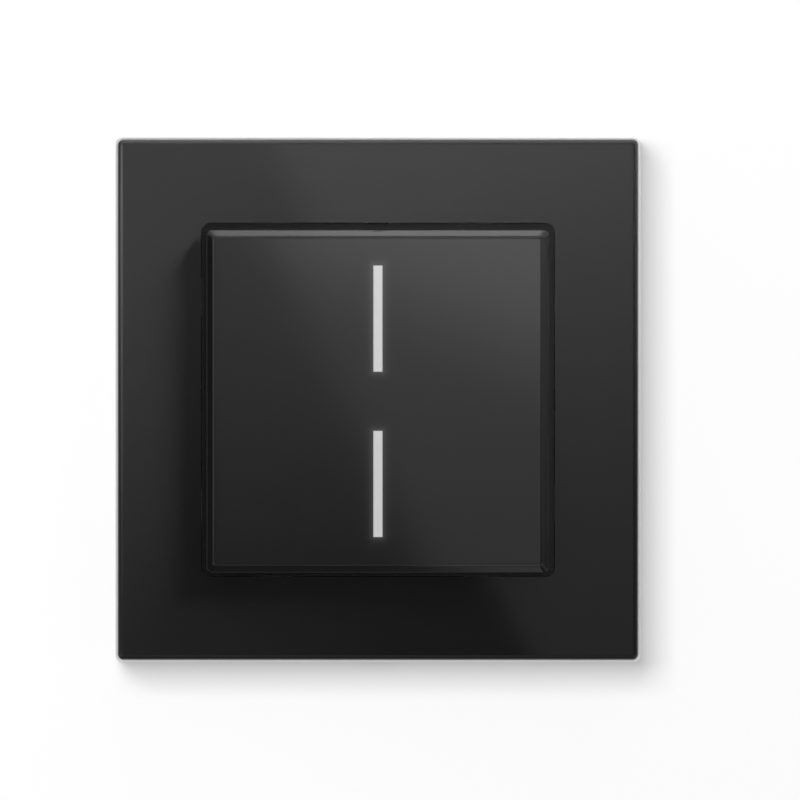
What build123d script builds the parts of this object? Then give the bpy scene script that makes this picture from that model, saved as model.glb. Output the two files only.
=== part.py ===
from build123d import *
import math
import os

# Flush smart push button for a round wall box, in millimetres.
# X runs to the right and Z up, as seen from the room, and +Y goes into the wall.
# The origin is the centre of the wall box's two screws, on the rear face of the support ring.
# Depths are written as "out": millimetres in front of the wall, so out = -Y.

# Front view
opening_side = 55.0
frame_band = 13.0
rocker_gap = 0.8
rocker_drop = 0.24
flange_gap = 0.05
rim_show = 0.35
glass_corner_r = 0.9
opening_corner_r = 1.4
glass_round = 0.8
opening_bevel = 0.15
seam_bevel = 0.3
glass_side = opening_side + 2 * frame_band
rocker_side = opening_side - 2 * rocker_gap
flange_side = opening_side - 2 * flange_gap

# Support ring
ring_side = 71.0
ring_thick = 1.0
ring_corner_r = 3.0
ring_window_w = 33.0
ring_window_h = 40.0
ring_window_r = 4.0
box_pitch = 60.0
slot_w = 3.8
slot_length = 7.0
wall_screw_pitch = 57.0
wall_screw_r = 1.6
bead_w = 2.4
bead_length = 17.0
bead_rise = 0.5
bead_x = 32.0
bead_z = 17.5
notch_w = 2.0
notch_deep = 1.2

# Control module, from the ring forward
skirt_side = 50.0
skirt_wall = 1.2
skirt_corner_r = 2.5
base_thick = 1.0
base_clear = 0.2
board_standoff = 0.4
board_thick = 1.0
board_clear = 0.4
part_height = 1.6
plate_thick = 1.4
pivot_rise = 2.0
bridge_rise = 1.8
bridge_thick = 1.2
cap_thick = 1.6
base_front = ring_thick + base_thick
board_rear = base_front + board_standoff
board_front = board_rear + board_thick
plate_rear = board_front + part_height
plate_front = plate_rear + plate_thick
pivot_out = plate_front + pivot_rise
bridge_rear = pivot_out + bridge_rise
bridge_front = bridge_rear + bridge_thick
rocker_front = bridge_front + cap_thick

# Frame depths, from the rocker's face back to the wall
rocker_proud = 3.0
glass_thick = 3.8
bond_thick = 0.2
glass_front = rocker_front - rocker_proud
glass_rear = glass_front - glass_thick
seat_out = glass_rear - bond_thick

# Frame carrier and the adhesive
carrier_side = glass_side + 2 * rim_show
carrier_corner_r = 1.05
carrier_wall = 1.6
carrier_floor = 1.6
carrier_step = 0.3
carrier_round = 0.2
rib_w = 1.0
rib_height = 1.8
rib_pitch = 11.0
clip_w = 6.0
clip_wall = 1.2
clip_hook = 1.1
clip_play = 0.3
clip_height = 1.8
clip_nose = 0.9
clip_place = 16.0
pry_w = 6.0
pry_deep = 0.8
bond_inset = 0.9
bond_band = 8.0

# Rocker cap
bevel_w = 1.15
bevel_deep = 0.9
rocker_corner_r = 1.0
face_corner_r = 0.35
cap_wall = 1.4
tilt_deg = 2.0
skirt_play = 0.35
stake_r = 0.8
stake_head_r = 1.3
stake_head = 0.4
stake_place = 20.5
hole_play = 0.1

# Light bars and their ducts
bar_w = 1.3
bar_length = 16.4
bar_place = 12.85
bar_play = 0.05
bar_flange_w = 2.8
bar_flange_length = 17.8
bar_flange = 0.7
bar_stub_w = 1.8
bar_stub_length = 16.8
bar_stub = 0.45
duct_w = 2.6
duct_length = 18.0
duct_wall = 0.6
duct_play = 0.2
duct_clear = 0.35

# Rocker bridge
bridge_side = 49.8
bridge_corner_r = 1.0
bridge_window_w = 6.4
bridge_window_length = 12.0
bridge_window_x = 11.8
bridge_window_z = 12.0
ear_x = 16.85
ear_wide = 1.25
ear_wall = 0.8
foot_place = 12.0
foot_r = 1.2
foot_gap = 0.03

# Pivots on the module cover
pivot_r = 0.9
running = 0.05
post_wide = 1.7
post_half_z = 2.4
post_wall = 0.5
pivot_play = 0.25
pivot_over = 0.15

# Plungers and the contact domes
stem_r = 1.0
head_r = 2.3
head_thick = 0.7
dome_r = 2.5
dome_crown_r = 0.9
dome_rise = 0.5
dome_sheet = 0.12
dome_gap = 0.05
guide_r = 1.9
guide_length = 0.7

# Spring plate under the plunger heads
spring_sheet = 0.2
spring_half_z = 2.8
finger_w = 4.4
finger_slot = 2.5
finger_over = 1.6
finger_flat = 1.8
finger_gap = 0.02
finger_root = 1.2
spring_stake_x = 6.0

# Small screws
module_screw_r = 1.0
module_screw_head_r = 1.9
module_screw_head = 0.85
module_screw_place = 21.2
module_boss_r = 1.9
boss_cover = 0.6
screw_play = 0.05
ring_screw_r = 1.25
ring_screw_head_r = 1.9
ring_screw_head = 0.9
ring_screw_x = 19.2
ring_screw_z = 12.8
ring_screw_length = 8.5
head_play = 0.4
slot_cut_w = 0.5
slot_cut_deep = 0.4

# Snap hooks of the module cover, behind the support ring
hook_x = 9.0
hook_w = 4.6
hook_play = 0.3
hook_nose = 0.6
hook_thick = 0.9
hook_gap = 0.05

# Insert housing behind the ring
insert_w = 48.0
insert_h = 46.0
insert_corner_r = 12.0
insert_depth = 27.0
insert_wall = 1.6
housing_round = 1.2
channel_half_z = 5.6
channel_floor_x = 13.4
lid_thick = 1.2
lid_ledge = 0.8
lid_play = 0.1
ring_boss_r = 2.2
boss_web = 1.2
board_post_z = 8.9
board_post_r = 1.8
power_front = -9.0
power_thick = 1.6
power_clear = 0.4
board_screw_r = 0.95
board_screw_head_r = 1.5
board_screw_head = 1.0
board_screw_length = 7.0
vent_w = 1.2
vent_length = 8.0
vent_pitch = 3.0
vent_z = 14.0
vent_count = 7

# Link plug between the two boards
pin_side = 0.5
pin_pitch = 2.0
pin_columns = 5
pin_hole = 0.7
plug_w = 10.4
plug_h = 4.4
plug_z = -4.6
plug_play = 0.5
header_height = 2.4
plug_gap = 0.5
pin_tip = 5.4
pin_tail = 1.0

# Claws and their screws
claw_screw_x = 20.8
claw_pivot_x = 15.6
claw_pivot_out = -6.0
claw_open_deg = 22.0
claw_thick = 1.0
claw_w = 9.0
claw_knuckle_r = 1.9
claw_pin_r = 0.9
claw_leg_x = 24.9
claw_leg_end = -21.0
claw_flare = 1.0
claw_flare_deep = 1.5
claw_bend_r = 1.1
claw_tooth = 1.1
claw_teeth = 4
claw_screw_r = 1.5
claw_screw_end = -11.0
claw_head_r = 2.5
claw_head = 1.6
claw_head_bevel = 0.5
claw_screw_point = 0.5
claw_seat_gap = 0.05
claw_hole_play = 0.1
claw_slot_play = 0.3
cross_w = 0.8
cross_length = 3.2
cross_deep = 0.9
access_r = 2.9
clear_r = 3.0

# Push-in terminals
block_w = 30.4
block_h = 10.8
block_z = -14.6
block_proud = 0.4
block_bevel = 0.3
post_beside = 2.0
board_post_x = block_w / 2 + post_beside
block_play = 0.2
pole_pitch = 7.4
poles = 4
cell_w = 5.6
cell_h = 9.4
cell_deep = 8.0
entry_side = 2.6
entry_z = -17.6
entry_pitch = 3.3
funnel = 0.4
lever_w = 11.2
lever_h = 2.6
lever_z = -11.7
lever_travel = 1.5
lever_play = 0.3
lever_proud = 0.5
lever_deep = 5.4
nub_w = 2.2
nub_h = 1.2
nub_length = 3.6
bar_sheet = 0.8
busbar_w = 5.0
terminal_pin = 0.8
terminal_hole = 1.1
clip_sheet = 0.4
clip_strip_w = 4.4
clip_roof = 3.6
clip_tongue = 2.0

# Electronics. Each tall part leaves its own clearance over it, to the housing's floor.
part_room = insert_depth - insert_wall + power_front - power_thick
led_w = 1.1
led_length = 2.0
led_height = 0.6
led_pitch = 5.5
chip_side = 7.0
chip_height = 0.9
chip_x = -6.6
shield_w = 8.4
shield_h = 7.6
shield_height = 1.3
shield_sheet = 0.2
shield_x = 7.2
relay_x = -8.8
relay_z = 14.0
relay_w = 12.4
relay_h = 11.0
relay_over = 2.2
relay_deep = part_room - relay_over
core_x = 8.6
core_z = 14.0
core_w = 13.0
core_h = 11.0
core_deep = 7.0
core_window_w = 2.9
core_window_h = 7.4
core_leg_w = 3.7
bobbin_w = 9.2
bobbin_over = 4.2
bobbin_deep = part_room - bobbin_over
bobbin_h = 7.0
bobbin_hole_w = 3.9
bobbin_hole_deep = 7.2
film_x = -8.0
film_w = 5.4
film_h = 11.0
film_over = 3.8
film_deep = part_room - film_over
bulk_x = 0.6
bulk_z = 2.4
bulk_r = 4.0
bulk_over = 2.8
bulk_length = part_room - bulk_over
varistor_x = 7.0
varistor_z = 2.6
varistor_r = 3.6
varistor_thick = 2.6
fuse_x = 8.0
fuse_z = -4.2
fuse_r = 1.5
fuse_length = 6.0
part_gap = 0.2

# Shared helpers

edge_reach = 0.001


def wall_plane(out):
    """A plane parallel to the wall, drawn on as seen from the room."""
    return Plane.XZ.offset(out)


def slab(outline, rear, front):
    """The outline extruded from one depth to another."""
    return extrude(wall_plane(rear) * outline, amount=front - rear)


def square(side, radius):
    return RectangleRounded(side, side, radius)


def spread(half_x, half_z):
    """Four places, one in each corner."""
    return [Pos(i * half_x, j * half_z) for i in (-1, 1) for j in (-1, 1)]


def pair(x):
    """Two places, left and right of the middle."""
    return [Pos(-x, 0), Pos(x, 0)]


def save(name, shape):
    export_step(shape, f"parts/{name}.step")


def front_edges(solid, out):
    return solid.edges().filter_by_position(Axis.Y, -out - edge_reach, -out + edge_reach)


def inner_edges(edges, side):
    """Those of the edges that lie within a square of this side."""
    half = side / 2
    return [e for e in edges if max(abs(e.center().X), abs(e.center().Z)) < half]


def copies(solid, places):
    """The solid at each place of a wall plane."""
    return Compound(children=[Pos(p.position.X, 0, p.position.Y) * solid for p in places])


def slotted_screw(r, head_r, head, seat, end):
    """A cheese-head screw whose head stands in front of its seat."""
    screw = slab(Circle(head_r), seat, seat + head) + slab(Circle(r), end, seat)
    return screw - slab(Rectangle(3 * head_r, slot_cut_w), seat + head - slot_cut_deep, seat + head + 1)


# Support ring


def support_ring():
    outline = square(ring_side, ring_corner_r)
    outline -= RectangleRounded(ring_window_w, ring_window_h, ring_window_r)
    for place in pair(box_pitch / 2):
        outline -= place * SlotOverall(slot_length, slot_w)
        outline -= Rot(0, 0, 90) * place * SlotOverall(slot_length, slot_w)
    for place in spread(wall_screw_pitch / 2, wall_screw_pitch / 2):
        outline -= place * Circle(wall_screw_r)
    for place in pair(claw_screw_x):
        outline -= place * Circle(claw_screw_r + claw_hole_play)
    for place in spread(ring_screw_x, ring_screw_z):
        outline -= place * Circle(ring_screw_r + screw_play)
    for place in spread(hook_x, skirt_side / 2 - skirt_wall / 2):
        outline -= place * Rectangle(hook_w + 2 * hook_play, skirt_wall + 2 * hook_play)
    notch = Polygon((-notch_w / 2, 0), (notch_w / 2, 0), (0, -notch_deep), align=None)
    for turn in range(4):
        outline -= Rot(0, 0, 90 * turn) * Pos(0, ring_side / 2) * notch
    ring = slab(outline, 0, ring_thick)
    for place in spread(bead_x, bead_z):
        bead = place * SlotOverall(bead_length, bead_w, rotation=90)
        hollow = place * SlotOverall(bead_length - ring_thick, bead_w - ring_thick, rotation=90)
        ring += slab(bead, ring_thick, ring_thick + bead_rise)
        ring -= slab(hollow, 0, bead_rise)
    return ring


# Frame


def frame_carrier():
    carrier = slab(square(carrier_side, carrier_corner_r), 0, seat_out)
    carrier = fillet(front_edges(carrier, seat_out), carrier_round)
    inside = carrier_side - 2 * carrier_wall
    carrier -= slab(square(inside, carrier_corner_r), 0, seat_out - carrier_floor)
    opening = opening_side + 2 * carrier_step
    carrier -= slab(square(opening, opening_corner_r), 0, seat_out)
    floor_rear = seat_out - carrier_floor
    clip_face = flange_side / 2 + clip_play
    rib_start = clip_face + clip_wall
    rib_end = inside / 2 + carrier_wall / 2
    rib = Pos((rib_start + rib_end) / 2, 0) * Rectangle(rib_end - rib_start, rib_w)
    clip = Pos(clip_face + clip_wall / 2, 0) * Rectangle(clip_wall, clip_w)
    nose = Pos(clip_face - clip_hook / 2 + clip_wall / 2, 0) * Rectangle(clip_hook + clip_wall, clip_w)
    nose_front = plate_rear - hook_gap
    for turn in range(4):
        for place in (-2 * rib_pitch, -rib_pitch, rib_pitch, 2 * rib_pitch):
            outline = Rot(0, 0, 90 * turn) * Pos(0, place) * rib
            carrier += slab(outline, floor_rear - rib_height, floor_rear)
        for place in (-clip_place, clip_place):
            turned = Rot(0, 0, 90 * turn) * Pos(0, place)
            carrier += slab(turned * clip, floor_rear - clip_height, floor_rear + carrier_floor / 2)
            carrier += slab(turned * nose, nose_front - clip_nose, nose_front)
    pry = Pos(0, -carrier_side / 2) * Rectangle(pry_w, 4 * carrier_wall)
    return carrier - slab(pry, -1, pry_deep)


def glass_bond():
    outer = glass_side - 2 * bond_inset
    outline = square(outer, glass_corner_r) - square(outer - 2 * bond_band, glass_corner_r)
    return slab(outline, seat_out, glass_rear)


def glass_panel():
    glass = slab(square(glass_side, glass_corner_r), glass_rear, glass_front)
    glass = fillet(front_edges(glass, glass_front), glass_round)
    glass = chamfer(front_edges(glass, glass_rear), seam_bevel)
    glass -= slab(square(opening_side, opening_corner_r), glass_rear, glass_front)
    rim = inner_edges(front_edges(glass, glass_front), opening_side + frame_band)
    return chamfer(rim, opening_bevel)


# Rocker


def bar_places():
    """The heights of the two bars. The push plate and its bars hang a little low in the opening."""
    return {"upper": bar_place - rocker_drop, "lower": -bar_place - rocker_drop}


def skirt_rear():
    """The rear edge of the cap's skirt, clear of the module cover at full tilt."""
    reach = rocker_side / 2 + rocker_drop
    return plate_front + reach * math.sin(math.radians(tilt_deg)) + skirt_play


def rocker_cap():
    face_side = rocker_side - 2 * bevel_w
    shoulder = rocker_front - bevel_deep
    hung = Pos(0, -rocker_drop)
    cap = slab(hung * square(rocker_side, rocker_corner_r), skirt_rear(), shoulder)
    low = wall_plane(shoulder) * hung * square(rocker_side, rocker_corner_r)
    high = wall_plane(rocker_front) * hung * square(face_side, face_corner_r)
    cap += loft([low, high], ruled=True)
    cap -= slab(hung * square(rocker_side - 2 * cap_wall, rocker_corner_r), skirt_rear(), bridge_front)
    for z in bar_places().values():
        slot = Pos(0, z) * Rectangle(bar_w + 2 * bar_play, bar_length + 2 * bar_play)
        cap -= slab(slot, bridge_front, rocker_front)
    for place in spread(stake_place, stake_place):
        cap += slab(place * Circle(stake_r), bridge_rear - stake_head, bridge_front)
        cap += slab(place * Circle(stake_head_r), bridge_rear - stake_head, bridge_rear)
    return cap


def rocker_bridge():
    outline = square(bridge_side, bridge_corner_r)
    for place in spread(stake_place, stake_place):
        outline -= place * Circle(stake_r + hole_play)
    for i, j in ((1, 0), (-1, 0), (0, 1), (0, -1)):
        length = (bridge_window_length, bridge_window_w) if i else (bridge_window_w, bridge_window_length)
        for side in (-1, 1):
            x = i * (bridge_side / 2 - bridge_window_w) if i else side * (bridge_window_x - bridge_window_w)
            z = side * bridge_window_z if i else j * bridge_window_z
            outline -= Pos(x, z) * RectangleRounded(*length, bridge_corner_r)
    bridge = slab(outline, bridge_rear, bridge_front)
    for z in bar_places().values():
        pocket = Rectangle(bar_flange_w + 2 * hole_play, bar_flange_length + 2 * hole_play)
        passage = Rectangle(bar_stub_w + 2 * hole_play, bar_stub_length + 2 * hole_play)
        bridge -= slab(Pos(0, z) * pocket, bridge_front - bar_flange - bar_play, bridge_front)
        bridge -= slab(Pos(0, z) * passage, bridge_rear, bridge_front)
    for place in spread(foot_place, foot_place):
        foot = wall_plane(bridge_rear) * place * Sphere(foot_r)
        bridge += foot - slab(place * Circle(2 * foot_r), bridge_rear, bridge_rear + foot_r)
    bore_r = pivot_r + running
    ear_r = bore_r + ear_wall
    for side in (-1, 1):
        middle = side * (ear_x + ear_wide / 2)
        plane = Plane.YZ.offset(middle)
        ear = Pos(-pivot_out, 0) * Circle(ear_r)
        ear += Pos(-(pivot_out + bridge_rear) / 2, 0) * Rectangle(bridge_rise, 2 * ear_r)
        bridge += extrude(plane * ear, amount=ear_wide / 2, both=True)
        bore = plane * Pos(-pivot_out, 0) * Circle(bore_r)
        bridge -= extrude(bore, amount=ear_wide, both=True)
    return bridge


def light_bar(z):
    """A clear bar with a flange that is held between the cap and the bridge."""
    flange_rear = bridge_front - bar_flange
    bar = slab(Pos(0, z) * Rectangle(bar_w, bar_length), bridge_front, rocker_front)
    bar += slab(Pos(0, z) * Rectangle(bar_flange_w, bar_flange_length), flange_rear, bridge_front)
    bar += slab(Pos(0, z) * Rectangle(bar_stub_w, bar_stub_length), flange_rear - bar_stub, flange_rear)
    return bar


# Control module


def duct_front():
    """The front end of the light ducts, clear of the tilted bridge."""
    reach = bar_place + rocker_drop + duct_length / 2
    return bridge_rear - reach * math.sin(math.radians(tilt_deg)) - duct_clear


def side_notches(r):
    """U-shaped notches round the heads of the claw screws, open to the sides."""
    return [
        Pos(side * claw_screw_x, 0) * (Circle(r) + Pos(side * r, 0) * Rectangle(2 * r, 2 * r))
        for side in (-1, 1)
    ]


def module_cover():
    cover = slab(square(flange_side, opening_corner_r), plate_rear, plate_front)
    inside = skirt_side - 2 * skirt_wall
    skirt = square(skirt_side, skirt_corner_r) - square(inside, skirt_corner_r - skirt_wall)
    cover += slab(skirt, ring_thick, plate_rear)
    for place in spread(foot_place, foot_place):
        cover += slab(place * Circle(guide_r), plate_rear - guide_length, plate_rear)
        cover -= slab(place * Circle(stem_r + running), plate_rear - guide_length, plate_front)
    for z in bar_places().values():
        window = Pos(0, z) * Rectangle(duct_w + 2 * duct_play, duct_length + 2 * duct_play)
        cover -= slab(window, plate_rear, plate_front)
    for place in pair(claw_screw_x):
        cover -= slab(place * Circle(access_r), plate_rear, plate_front)
    for place in spread(module_screw_place, module_screw_place):
        cover += slab(place * Circle(module_boss_r), board_front, plate_rear)
        cover -= slab(place * Circle(module_screw_r + screw_play), board_front, plate_front - boss_cover)
    for place in pair(spring_stake_x):
        cover += slab(place * Circle(stake_r), plate_front, plate_front + spring_sheet + stake_head)
        head_rear = plate_front + spring_sheet
        cover += slab(place * Circle(stake_head_r), head_rear, head_rear + stake_head)
    for side in (-1, 1):
        cover += pivot_post(side)
    for i in (-1, 1):
        for j in (-1, 1):
            cover += snap_hook(i * hook_x, j)
    return cover


def pivot_post(side):
    """A post in front of the cover with a pin that points outwards into the rocker's ear."""
    post_x = ear_x - pivot_play - post_wide
    outline = Pos(-(plate_front + pivot_out) / 2, 0) * Rectangle(pivot_rise, 2 * post_half_z)
    outline += Pos(-pivot_out, 0) * Circle(pivot_r + post_wall)
    post_plane = Plane.YZ.offset(side * (post_x + post_wide / 2))
    post = extrude(post_plane * outline, amount=post_wide / 2, both=True)
    pin_length = pivot_play + ear_wide + pivot_over
    pin_plane = Plane.YZ.offset(side * (post_x + post_wide + pin_length / 2))
    return post + extrude(pin_plane * Pos(-pivot_out, 0) * Circle(pivot_r), amount=pin_length / 2, both=True)


def snap_hook(x, up):
    """A hook at the skirt's rear edge that reaches through the ring and catches behind it."""
    hook_z = up * (skirt_side / 2 - skirt_wall / 2)
    hook = slab(Pos(x, hook_z) * Rectangle(hook_w, skirt_wall), -hook_gap - hook_thick, ring_thick)
    reach = skirt_wall + hook_play + hook_nose
    nose_z = up * (skirt_side / 2 - skirt_wall + reach / 2)
    return hook + slab(Pos(x, nose_z) * Rectangle(hook_w, reach), -hook_gap - hook_thick, -hook_gap)


def module_base():
    side = skirt_side - 2 * skirt_wall - 2 * base_clear
    outline = square(side, skirt_corner_r - skirt_wall)
    for notch in side_notches(clear_r):
        outline -= notch
    for place in spread(ring_screw_x, ring_screw_z):
        outline -= place * Circle(ring_screw_head_r + head_play)
    outline -= Pos(0, plug_z) * Rectangle(plug_w + 2 * plug_play, plug_h + 2 * plug_play)
    base = slab(outline, ring_thick, base_front)
    for place in spread(module_screw_place, module_screw_place):
        base += slab(place * Circle(module_boss_r), base_front, board_rear)
        base -= slab(place * Circle(module_screw_r + screw_play), ring_thick, board_rear)
        sink = wall_plane(ring_thick) * place * Circle(module_screw_head_r + screw_play)
        throat = wall_plane(ring_thick + module_screw_head) * place * Circle(module_screw_r + screw_play)
        base -= loft([sink, throat], ruled=True)
    return base


def module_screws():
    """Countersunk screws, driven from the rear through the base and the board."""
    screws = []
    for place in spread(module_screw_place, module_screw_place):
        rim = wall_plane(ring_thick) * place * Circle(module_screw_head_r)
        neck = wall_plane(ring_thick + module_screw_head) * place * Circle(module_screw_r)
        screw = loft([rim, neck], ruled=True)
        end = plate_front - boss_cover - hole_play
        screw += slab(place * Circle(module_screw_r), ring_thick + module_screw_head, end)
        cut = place * Rectangle(3 * module_screw_head_r, slot_cut_w)
        screws.append(screw - slab(cut, 0, ring_thick + slot_cut_deep))
    return Compound(children=screws)


def control_board():
    side = skirt_side - 2 * skirt_wall - 2 * board_clear
    outline = square(side, skirt_corner_r - skirt_wall)
    for notch in side_notches(clear_r):
        outline -= notch
    for place in spread(module_screw_place, module_screw_place):
        outline -= place * Circle(module_screw_r + hole_play)
    return slab(outline, board_rear, board_front)


def status_leds():
    leds = []
    for z in bar_places().values():
        for step in (-1, 0, 1):
            outline = Pos(0, z + step * led_pitch) * Rectangle(led_w, led_length)
            leds.append(slab(outline, board_front, board_front + led_height))
    return Compound(children=leds)


def light_duct(z):
    outline = Rectangle(duct_w, duct_length)
    outline -= Rectangle(duct_w - 2 * duct_wall, duct_length - 2 * duct_wall)
    return slab(Pos(0, z) * outline, board_front, duct_front())


def controller_chip():
    return slab(Pos(chip_x, 0) * Rectangle(chip_side, chip_side), board_front, board_front + chip_height)


def radio_shield():
    top = board_front + shield_height
    can = slab(Pos(shield_x, 0) * Rectangle(shield_w, shield_h), board_front, top)
    inside = Rectangle(shield_w - 2 * shield_sheet, shield_h - 2 * shield_sheet)
    return can - slab(Pos(shield_x, 0) * inside, board_front, top - shield_sheet)


def snap_domes(up):
    """Two sprung contact domes of thin sheet, each with a sloping skirt and a flat crown."""
    slope = math.atan2(dome_rise, dome_r - dome_crown_r)
    foot = dome_r - dome_sheet / math.sin(slope)
    inner = foot - (dome_rise - dome_sheet) / math.tan(slope)
    top = -board_front - dome_rise
    outer = [(0, top), (dome_crown_r, top), (dome_r, -board_front)]
    hollow = [(foot, -board_front), (inner, top + dome_sheet), (0, top + dome_sheet)]
    dome = revolve(Polygon(*outer, *hollow, align=None), axis=Axis.Y)
    return copies(dome, [Pos(side * foot_place, up * foot_place) for side in (-1, 1)])


def head_front():
    return bridge_rear - foot_r - foot_gap


def plunger(place):
    head_rear = head_front() - head_thick
    pin = slab(place * Circle(head_r), head_rear, head_front())
    return pin + slab(place * Circle(stem_r), board_front + dome_rise + dome_gap, head_rear)


def spring_plate():
    """One stamped spring plate: a strip across the middle with four forked fingers."""
    half_x = foot_place + finger_w / 2
    strip = Rectangle(2 * half_x, 2 * spring_half_z)
    for place in pair(spring_stake_x):
        strip -= place * Circle(stake_r + hole_play)
    plate = slab(strip, plate_front, plate_front + spring_sheet)
    low = plate_front + spring_sheet / 2
    high = head_front() - head_thick - finger_gap - spring_sheet / 2
    tip = foot_place + finger_over
    bend = foot_place - finger_flat
    root = spring_half_z - spring_sheet
    points = [(-low, root), (-low, root + finger_root), (-high, bend), (-high, tip)]
    outline = trace(Polyline(*points), line_width=spring_sheet)
    slot = SlotOverall(4 * finger_over, finger_slot, rotation=90)
    for side in (-1, 1):
        plane = Plane.YZ.offset(side * foot_place)
        finger = extrude(plane * outline, amount=finger_w / 2, both=True)
        fork = Pos(side * foot_place, foot_place + finger_over) * slot
        finger -= slab(fork, plate_front + spring_sheet, head_front())
        plate += finger
        plate += mirror(finger, about=Plane.XY)
    return plate


# Link plug


def pin_places():
    columns = [(i - (pin_columns - 1) / 2) * pin_pitch for i in range(pin_columns)]
    return [Pos(x, plug_z + row * pin_pitch / 2) for x in columns for row in (-1, 1)]


def plug_outline():
    return Pos(0, plug_z) * RectangleRounded(plug_w, plug_h, pin_side)


def socket_rear():
    return power_front + header_height + plug_gap


def link_socket():
    socket = slab(plug_outline(), socket_rear(), board_rear)
    depth = power_front + header_height + pin_tip + plug_gap
    for place in pin_places():
        socket -= slab(place * Rectangle(pin_hole, pin_hole), socket_rear(), depth)
    return socket


def link_header():
    header = slab(plug_outline(), power_front, power_front + header_height)
    for place in pin_places():
        header -= slab(place * Rectangle(pin_hole, pin_hole), power_front, power_front + header_height)
    return header


def link_pins():
    tail = power_front - power_thick - pin_tail
    tip = power_front + header_height + pin_tip
    pin = Rectangle(pin_side, pin_side)
    return Compound(children=[slab(place * pin, tail, tip) for place in pin_places()])


# Insert


def insert_outline(inset):
    """The housing's outline, drawn in by inset, with a channel for a claw in each side."""
    outline = RectangleRounded(insert_w - 2 * inset, insert_h - 2 * inset, insert_corner_r - inset)
    floor_x = channel_floor_x - inset
    for side in (-1, 1):
        centre = Pos(side * (floor_x + insert_w / 2), 0)
        outline -= centre * Rectangle(insert_w, 2 * (channel_half_z + inset))
    return outline


def rear_housing():
    housing = slab(insert_outline(0), -insert_depth, 0)
    housing = fillet(front_edges(housing, -insert_depth), housing_round)
    floor = -insert_depth + insert_wall
    housing -= slab(insert_outline(insert_wall), floor, 0)
    housing -= slab(insert_outline(insert_wall - lid_ledge), -lid_thick, 0)
    for place in spread(ring_screw_x, ring_screw_z):
        housing += slab(place * Circle(ring_boss_r), power_front, -lid_thick)
        x, z = place.position.X, place.position.Y
        reach = insert_w / 2 - insert_wall / 2 - abs(x)
        web = Pos(math.copysign(abs(x) + reach / 2, x), z) * Rectangle(reach, boss_web)
        housing += slab(web, power_front + part_gap, -lid_thick)
        housing -= slab(place * Circle(ring_screw_r + screw_play), power_front, 0)
    for place in spread(board_post_x, board_post_z):
        housing += slab(place * Circle(board_post_r), floor, power_front - power_thick)
        end = power_front - board_screw_length - screw_play
        housing -= slab(place * Circle(board_screw_r + screw_play), end, power_front - power_thick)
    window = Rectangle(block_w + 2 * block_play, block_h + 2 * block_play)
    housing -= slab(Pos(0, block_z) * window, -insert_depth, floor)
    for i in range(vent_count):
        x = (i - (vent_count - 1) / 2) * vent_pitch
        housing -= slab(Pos(x, vent_z) * Rectangle(vent_w, vent_length), -insert_depth, floor)
    pin_end = channel_half_z + insert_wall
    return housing - claw_pin_bar(claw_pin_r + screw_play / 2, pin_end)


def claw_pin_bar(r, half_length):
    """A round bar along both claw hinges."""
    bars = []
    for side in (-1, 1):
        outline = Plane.XY * Pos(side * claw_pivot_x, -claw_pivot_out) * Circle(r)
        bars.append(extrude(outline, amount=half_length, both=True))
    return Compound(children=bars)


def housing_lid():
    outline = insert_outline(insert_wall - lid_ledge + lid_play)
    for place in spread(ring_screw_x, ring_screw_z):
        outline -= place * Circle(ring_screw_r + screw_play)
    outline -= Pos(0, plug_z) * Rectangle(plug_w + 2 * plug_play, plug_h + 2 * plug_play)
    return slab(outline, -lid_thick, 0)


def ring_screws():
    end = ring_thick - ring_screw_length
    screw = slotted_screw(ring_screw_r, ring_screw_head_r, ring_screw_head, ring_thick, end)
    return copies(screw, spread(ring_screw_x, ring_screw_z))


def board_screws():
    end = power_front - board_screw_length
    screw = slotted_screw(board_screw_r, board_screw_head_r, board_screw_head, power_front, end)
    return copies(screw, spread(board_post_x, board_post_z))


def pole_places():
    return [(i - (poles - 1) / 2) * pole_pitch for i in range(poles)]


def power_board():
    outline = insert_outline(insert_wall + power_clear)
    for place in spread(ring_screw_x, ring_screw_z):
        outline -= place * Circle(ring_boss_r + part_gap)
    for place in spread(board_post_x, board_post_z):
        outline -= place * Circle(board_screw_r + hole_play)
    for place in pin_places():
        outline -= place * Rectangle(pin_hole, pin_hole)
    for x in pole_places():
        outline -= Pos(x, terminal_bar_z()) * Rectangle(terminal_hole, terminal_hole)
    return slab(outline, power_front - power_thick, power_front)


def part_rear():
    """The board's rear face, where the tall parts stand."""
    return power_front - power_thick


def relay():
    outline = Pos(relay_x, relay_z) * Rectangle(relay_w, relay_h)
    return slab(outline, part_rear() - relay_deep, part_rear())


def core_middle():
    return part_rear() - part_gap - bobbin_deep / 2


def transformer_core():
    outline = Rectangle(core_w, core_h)
    window_x = (core_leg_w + core_window_w) / 2
    for place in pair(window_x):
        outline -= place * Rectangle(core_window_w, core_window_h)
    middle = core_middle()
    return slab(Pos(core_x, core_z) * outline, middle - core_deep / 2, middle + core_deep / 2)


def transformer_bobbin():
    """The winding on its former, round the core's middle leg."""
    outline = RectangleRounded(bobbin_w, bobbin_deep, core_leg_w / 2)
    outline -= Rectangle(bobbin_hole_w, bobbin_hole_deep)
    plane = Plane.XY.offset(core_z)
    return extrude(plane * Pos(core_x, -core_middle()) * outline, amount=bobbin_h / 2, both=True)


def filter_capacitor():
    return slab(Pos(film_x, 0) * Rectangle(film_w, film_h), part_rear() - film_deep, part_rear())


def bulk_capacitor():
    return slab(Pos(bulk_x, bulk_z) * Circle(bulk_r), part_rear() - bulk_length, part_rear())


def varistor():
    """A disc that stands on edge."""
    centre = Pos(-(part_rear() - part_gap - varistor_r), varistor_z) * Circle(varistor_r)
    return extrude(Plane.YZ.offset(varistor_x) * centre, amount=varistor_thick / 2, both=True)


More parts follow.
